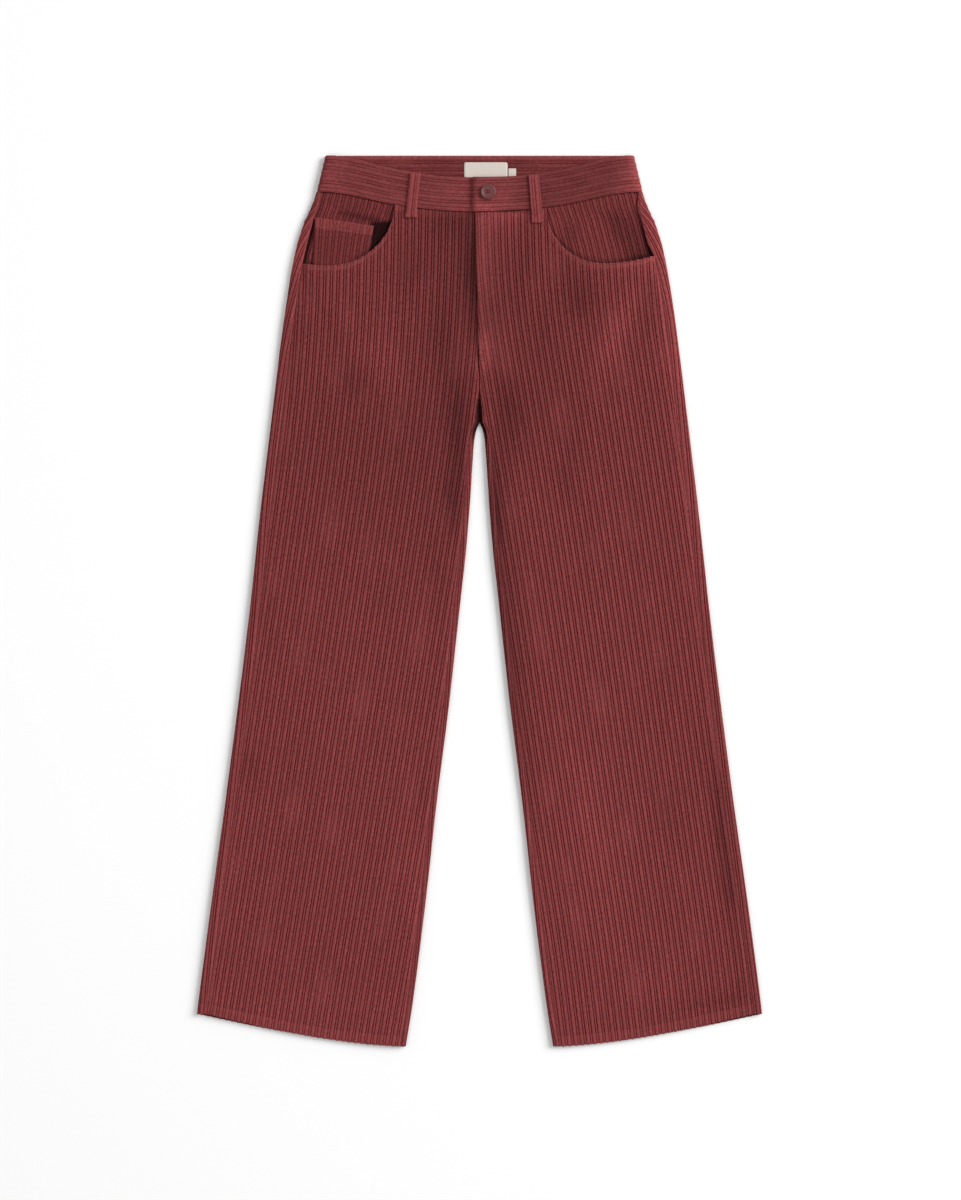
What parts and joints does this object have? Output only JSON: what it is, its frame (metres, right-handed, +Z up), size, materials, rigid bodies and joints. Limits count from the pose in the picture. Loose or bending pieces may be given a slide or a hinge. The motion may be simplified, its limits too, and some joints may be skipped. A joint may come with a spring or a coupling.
{
  "type": "wide-leg corduroy trousers",
  "caption": "Corduroy trousers laid flat, with a button waistband, scooped front pockets, a coin pocket and wide legs spread apart.",
  "frame": {"origin": "on the table, under the middle of the trousers' outline", "axes": "+Y towards the waist, +X towards the wearer's left, +Z up from the table, which the back of the trousers lies on"},
  "size_m": [0.649, 1.023, 0.0162],
  "materials": {
    "corduroy": "burgundy cotton corduroy with about thirteen wales to 100 mm, brushed and soft",
    "pocket_corduroy": "the same burgundy corduroy, in the pockets' shade",
    "button_resin": "dull red-brown resin with a raised rim",
    "woven_tag": "cream woven tape, blank"
  },
  "bodies": {
    "root": {"back_left": "corduroy", "back_right": "corduroy", "front_left": "corduroy", "front_right": "corduroy", "waistband": "corduroy", "pocket_facing_left": "pocket_corduroy", "pocket_facing_right": "pocket_corduroy", "coin_pocket": "pocket_corduroy", "belt_loop_left": "corduroy", "belt_loop_right": "corduroy", "button": "button_resin", "waist_label": "woven_tag", "size_tag": "woven_tag"}
  },
  "joints": []
}
